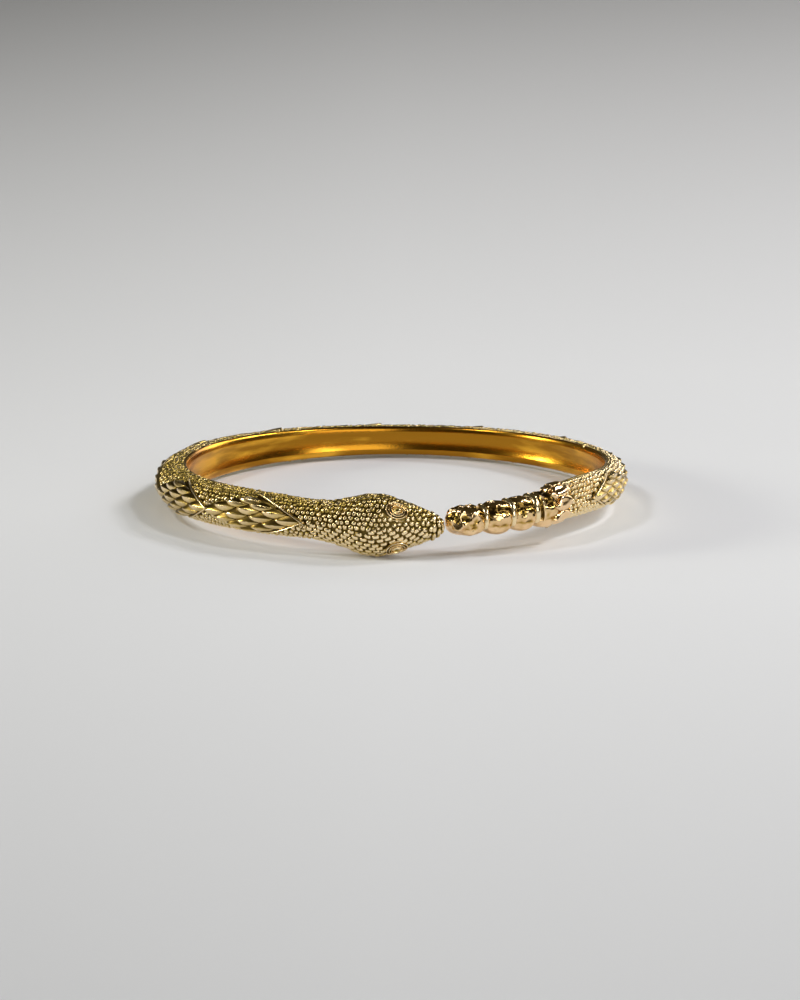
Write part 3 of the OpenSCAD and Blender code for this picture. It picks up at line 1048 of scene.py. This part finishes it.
class SNAKECUFF_OT_diamonds(Operator):
    """Diamonds: sixteen keeled scales in each, four by four"""

    bl_idname = "snakecuff.diamonds"
    bl_label = "Diamond scales"

    def execute(self, context):
        skin = Skin()
        form, faces = half_ball(24, 6)
        laid, worn = [], []
        for k in range(DIAMONDS):
            start, sense = diamond_sense(k)
            # Scales on the tail are painted lighter, as painted light from the right
            rubbed_with_painted_light = TAIL_LEAF_LIGHT * on_tail(start)
            for i in range(TILES):
                for j in range(TILES):
                    share = HOLLOW + TILE * (i + j + 1) / 2
                    off = (i - j) / TILES * SPREAD
                    height = LEAF_RISE * skin.c.scale_h * (1 - SIDE_LOSS * abs(off) / SPREAD)
                    points, wear_and_light = leaf_points(
                        form, skin, start + sense * share * PITCH, TWIST + off,
                        LEAF_FILL * TILE / 2 * PITCH, LEAF_FILL * SPREAD / TILES, height
                    )
                    laid.append(points)
                    worn.append(wear_and_light + (1 - wear_and_light) * rubbed_with_painted_light)
        copies("diamond_scales", laid, faces, worn, skin, 0.25 * RATTLE_POLISH_AND_TINT)
        return {"FINISHED"}


class SNAKECUFF_OT_ridges(Operator):
    """V ridges: the raised lines before each diamond"""

    bl_idname = "snakecuff.ridges"
    bl_label = "V ridges"

    def execute(self, context):
        skin = Skin()
        parts = []
        share = np.linspace(-0.05, 1, 24)
        # The upper leg is the stronger one, and the lower one fades towards its end
        legs = ((-1, 1 - 0.45 * share, 1 - 0.95 * share), (1, 1.25, 1.2 - 0.5 * share))
        for k in range(DIAMONDS):
            start, sense = diamond_sense(k)
            at = start + sense * V_REACH * PITCH * share
            for side, width, height in legs:
                turn = TWIST + (side * V_EDGE - TWIST) * share
                width = RIDGE_SHARP * skin.c.ridge_w * width
                parts.append(line_on_skin(
                    f"ridge_{k}_{side}", skin, at, turn, width, skin.c.ridge_h * height
                ))
        finish_piece(join("v_ridges", parts))
        return {"FINISHED"}


# ---- head

# Rings round an eye: share of the outer one, width, height
EYE_RINGS = ((1.0, 0.26, 0.28), (0.74, 0.22, 0.34), (0.52, 0.2, 0.38))
EYEBALL = (0.75, 0.5, 0.5)
EYEBALL_SINK = 0.18
PIT_MIDDLE, PIT_REACH, PIT_DEPTH = (0.1, 0, 0), 0.55, 0.24
# Along the head, from an eye's middle, and round it, in half widths of the eye
BROW_FROM, BROW_TO, BROW_OUT = -1.6, 1.3, 1.12
BROW_WIDTH, BROW_HEIGHT = 0.18, 0.12


class SNAKECUFF_OT_eyes(Operator):
    """Eyes: a ball with a pit, three oval rings and the brow line"""

    bl_idname = "snakecuff.eyes"
    bl_label = "Eyes"

    def execute(self, context):
        skin = Skin()
        form, faces = half_ball(20, 6)
        spoke = polar(form)[1]
        pit = bell(polar(form - PIT_MIDDLE)[1], 0, PIT_REACH)
        ball = form * EYEBALL
        ball[:, 2] -= EYEBALL_SINK + PIT_DEPTH * pit
        around = np.linspace(0, 2 * math.pi, 41)
        brow = np.linspace(0.3, 2.84, 16)
        parts, balls = [], []
        for middle in EYE_TURNS:
            axes = np.array(skin.axes(EYE_AT, middle))
            balls.append(skin.point(EYE_AT, middle) + ball @ axes)
            ends = skin.point(EYE_AT + np.array([1, -1, 0, 0]), middle + np.array([0, 0, 2, -2]))
            per_at, per_turn = math.dist(*ends[:2]) / 2, math.dist(*ends[2:]) / 4
            long, high = (skin.c.eye_l / 2 - 0.1) / per_at, (skin.c.eye_w / 2 - 0.1) / per_turn
            for grow, width, height in EYE_RINGS:
                at = EYE_AT + grow * long * np.cos(around)
                turn = middle + grow * high * np.sin(around)
                parts.append(line_on_skin(
                    "eye_ring", skin, at, turn, width, height, sink=0.25, closed=True
                ))
            at = EYE_AT + np.linspace(BROW_FROM, BROW_TO, len(brow))
            turn = middle - np.sign(middle) * BROW_OUT * (skin.c.eye_w / 2) / per_turn
            turn, width = np.full(len(brow), turn), BROW_WIDTH * np.sin(brow)
            parts.append(line_on_skin("brow", skin, at, turn, width, BROW_HEIGHT))
        finish_piece(join("eye_rings", parts))
        worn = np.tile(np.clip(0.5 + 0.5 * spoke, 0, 1) * (1 - pit), (len(balls), 1))
        copies("eyeballs", balls, faces, worn, skin)
        return {"FINISHED"}


# Rows of plates round the nose: place, number of plates, half their length, height
SNOUT_ROWS = ((2.7, 5, 0.5, 0.26), (1.5, 4, 0.5, 0.26), (0.5, 3, 0.36, 0.2))
SNOUT_SPAN = 190
PLATE_FILL, PLATE_SINK = 0.92, 0.2


class SNAKECUFF_OT_snout(Operator):
    """Snout: upright plates round the nose"""

    bl_idname = "snakecuff.snout"
    bl_label = "Snout plates"

    def execute(self, context):
        skin = Skin()
        form, faces = half_ball(16, 5)
        p, q, spoke = footprint(form, 3)
        dome = np.clip(1 - spoke ** 3, 0, 1) ** 0.5
        laid = []
        for at, count, long, height in SNOUT_ROWS:
            rise = height * dome - PLATE_SINK * (spoke > FOOT)
            for number in range(count):
                turn = (number - (count - 1) / 2) * SNOUT_SPAN / count
                high = SNOUT_SPAN / count / 2 * PLATE_FILL
                laid.append(skin.raised(at + p * long, turn + q * high, rise))
        worn = np.tile(0.1 + 0.9 * dome, (len(laid), 1))
        copies("snout_plates", laid, faces, worn, skin)
        return {"FINISHED"}


# ---- tail

PETAL_TURNS = (-77, -34, 9, 52, 95)
PETAL_HOLLOWS = (0.2, 0.15, 0.2, 0.35, 0.3)
PETAL_AT = 327.8
PETAL_LONG = 3.8
PETAL_HIGH = 21
PETAL_POINT, PETAL_ROUND = 1.25, 1.9
PETAL_SINK = 0.35


class SNAKECUFF_OT_petals(Operator):
    """Petals: large pointed scales over the root of the rattle"""

    bl_idname = "snakecuff.petals"
    bl_label = "Petals"

    def execute(self, context):
        skin = Skin()
        form, faces = half_ball(28, 8)
        petals = zip(PETAL_TURNS, PETAL_HOLLOWS)
        laid, worn = zip(*(petal_points(form, skin, *petal) for petal in petals))
        copies("petals", laid, faces, worn, skin, RATTLE_POLISH_AND_TINT)
        return {"FINISHED"}


# Collars: place, from and to which turn, width, height
COLLARS = (
    (334.2, -34, 34, 0.3, 0.2),
    (335.9, -112, 112, 1.15, 0.62),
    (342.5, -112, 112, 1.0, 0.6),
    (349.6, -112, 112, 0.9, 0.5),
)
COLLAR_DROP = 0.3  # how far a collar sinks where it fades out below
# How far its path bows and waves, in degrees, and how much its width changes
COLLAR_BOW, COLLAR_WAVE, COLLAR_UNEVEN = 0.3, 0.12, 0.06


class SNAKECUFF_OT_collars(Operator):
    """Collars: the thin raised rings where one segment of the rattle meets the next"""

    bl_idname = "snakecuff.collars"
    bl_label = "Rattle collars"

    def execute(self, context):
        skin = Skin()
        parts = []
        for number, (at, low, high, width, height) in enumerate(COLLARS):
            turn = np.linspace(low, high, 60)
            wave = COLLAR_WAVE * np.sin(3 * turn * DEG + number)
            path = at + COLLAR_BOW * np.cos(turn * DEG) + wave
            fade = rise_between(turn, -75, -15) if width > 0.5 else 1
            width = width + COLLAR_UNEVEN * np.sin(3 * turn * DEG)
            height = (height + COLLAR_DROP) * fade - COLLAR_DROP
            parts.append(line_on_skin(
                f"collar_{number}", skin, path, turn, width, height, sink=0.4, crown=0.5
            ))
        finish_piece(join("rattle_collars", parts), 0.1 * RATTLE_POLISH_AND_TINT)
        return {"FINISHED"}


# ---- studio

# name, heading from +X and elevation in degrees, distance, width and height in metres, colour
STUDIO_LIGHTS = (
    ("right_window", 20, 42, 0.9, (0.18, 0.18), (1.0, 0.98, 0.97)),
    ("front_screen", -62, 22, 0.9, (0.80, 0.40), (1.0, 0.99, 0.97)),
    ("back_screen", 45, 18, 0.9, (0.50, 0.40), (1.0, 0.95, 0.9)),
    ("left_window", 180, 15, 0.9, (0.18, 0.16), (1.0, 0.98, 0.82)),
    ("right_spot", -20, 52, 0.9, (0.14, 0.14), (1.0, 0.99, 0.97)),
    ("left_spot", 200, 52, 0.9, (0.14, 0.14), (1.0, 0.99, 0.97)),
    ("overhead_screen", 270, 38, 1.0, (0.80, 0.35), (1.0, 0.96, 0.97)),
    ("lamp_behind", 97, 30, 1.1, (0.12, 0.12), (1.0, 0.99, 0.95)),
)
# The pool of painted light on the floor, in metres: where its painted shade starts and is darkest,
# how much sooner it darkens towards the camera and on the left, and how much wider it is than deep
POOL_EDGE = (0.1, 1.1)
POOL_FRONT, POOL_LEFT, POOL_WIDE = -2, (-0.11, 0.24), 0.5
FLOOR_SIZE = 6


class SNAKECUFF_OT_studio(Operator):
    """Studio: the floor, the lights and the camera"""

    bl_idname = "snakecuff.studio"
    bl_label = "Studio"

    def pool(self, tree, studio):
        """Painted light on the floor: a pale pool round the cuff, with painted shade far away, to
        the left and near the camera."""
        place = add_node(tree, "TexCoord", {}).outputs["Object"]
        parts = add_node(tree, "SeparateXYZ", {0: place})
        x, y = parts.outputs["X"], parts.outputs["Y"]
        depth = maths(tree, "MAXIMUM", y, maths(tree, "MULTIPLY", y, POOL_FRONT))
        width = maths(tree, "MULTIPLY", x, POOL_WIDE)
        flat = add_node(tree, "CombineXYZ", {"X": width, "Y": depth})
        away = add_node(tree, "VectorMath", {0: flat.outputs[0]}, operation="LENGTH")
        left = mapped(tree, x, 0, POOL_LEFT[0], 0, POOL_LEFT[1])
        fade = mapped(tree, maths(tree, "ADD", away.outputs["Value"], left), *POOL_EDGE)
        return mixed(tree, fade, studio.floor, studio.far_floor_shade)

    def execute(self, context):
        scene = context.scene
        studio = scene.snake_studio
        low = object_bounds()[0]
        floor = start_object(
            bpy.ops.mesh.primitive_plane_add, size=FLOOR_SIZE, location=(0, 0, low[2])
        )
        floor.name = floor.data.name = "floor"
        # Paper floor, whose colour holds the painted pool of light
        paper = bpy.data.materials.new("pale paper")
        paper.use_nodes = True
        shader = paper.node_tree.nodes["Principled BSDF"]
        shader.inputs["Roughness"].default_value = 0.8
        pool = self.pool(paper.node_tree, studio)
        paper.node_tree.links.new(pool, shader.inputs["Base Color"])
        floor.data.materials.append(paper)
        floor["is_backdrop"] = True

        centre = Vector(Skin().rest) * MM
        for name, heading, elevation, far, size, tint in STUDIO_LIGHTS:
            a, e = heading * DEG, elevation * DEG
            way = Vector((math.cos(a) * math.cos(e), math.sin(a) * math.cos(e), math.sin(e)))
            light = bpy.data.lights.new(name, "AREA")
            light.shape = "RECTANGLE"
            light.size, light.size_y = size
            light.energy = getattr(studio, name)
            light.color = tint
            lamp = add_object(name, light)
            lamp.location = centre + far * way
            lamp.rotation_euler = (-way).to_track_quat("-Z", "Y").to_euler()

        world = bpy.data.worlds.new("dim room")
        scene.world = world
        world.use_nodes = True
        sky = world.node_tree.nodes["Background"]
        sky.inputs["Color"].default_value = studio.walls
        sky.inputs["Strength"].default_value = studio.room

        camera = bpy.data.cameras.new("camera")
        camera.lens = studio.focal / MM
        camera.sensor_width = 36
        camera.sensor_fit = "HORIZONTAL"
        camera.clip_start = 0.01
        viewer = add_object("camera", camera)
        e = studio.elevation
        ahead = Vector((0, math.cos(e), -math.sin(e)))
        viewer.location = centre - studio.distance * ahead
        down = Vector((0, -math.sin(e), -math.cos(e)))
        aim = ahead + Vector((studio.aim_right, 0, 0)) + down * studio.aim_down
        viewer.rotation_euler = aim.to_track_quat("-Z", "Y").to_euler()
        scene.camera = viewer
        scene.view_settings.view_transform = "Standard"
        return {"FINISHED"}


OPERATORS = (
    SNAKECUFF_OT_body,
    SNAKECUFF_OT_granules,
    SNAKECUFF_OT_diamonds,
    SNAKECUFF_OT_ridges,
    SNAKECUFF_OT_eyes,
    SNAKECUFF_OT_snout,
    SNAKECUFF_OT_petals,
    SNAKECUFF_OT_collars,
    SNAKECUFF_OT_studio,
)


class SNAKECUFF_PT_sidebar(Panel):
    bl_idname = "SNAKECUFF_PT_sidebar"
    bl_label = "Snake Cuff"
    bl_space_type = "VIEW_3D"
    bl_region_type = "UI"
    bl_category = "Snake Cuff"

    def draw(self, context):
        layout = self.layout
        for group_name, group in GROUPS.items():
            box = layout.box()
            box.label(text=group.__doc__.rstrip("."))
            for name in group.__annotations__:
                box.prop(getattr(context.scene, group_name), name)
        for operator in OPERATORS:
            layout.operator(operator.bl_idname)


def register():
    for group_name, group in GROUPS.items():
        bpy.utils.register_class(group)
        setattr(bpy.types.Scene, group_name, bpy.props.PointerProperty(type=group))
    for operator in OPERATORS:
        bpy.utils.register_class(operator)
    bpy.utils.register_class(SNAKECUFF_PT_sidebar)


def unregister():
    bpy.utils.unregister_class(SNAKECUFF_PT_sidebar)
    for operator in reversed(OPERATORS):
        bpy.utils.unregister_class(operator)
    for group_name, group in GROUPS.items():
        delattr(bpy.types.Scene, group_name)
        bpy.utils.unregister_class(group)


def main():
    register()
    for operator in OPERATORS:
        group, name = operator.bl_idname.split(".")
        getattr(getattr(bpy.ops, group), name)()


if __name__ == "__main__":
    main()
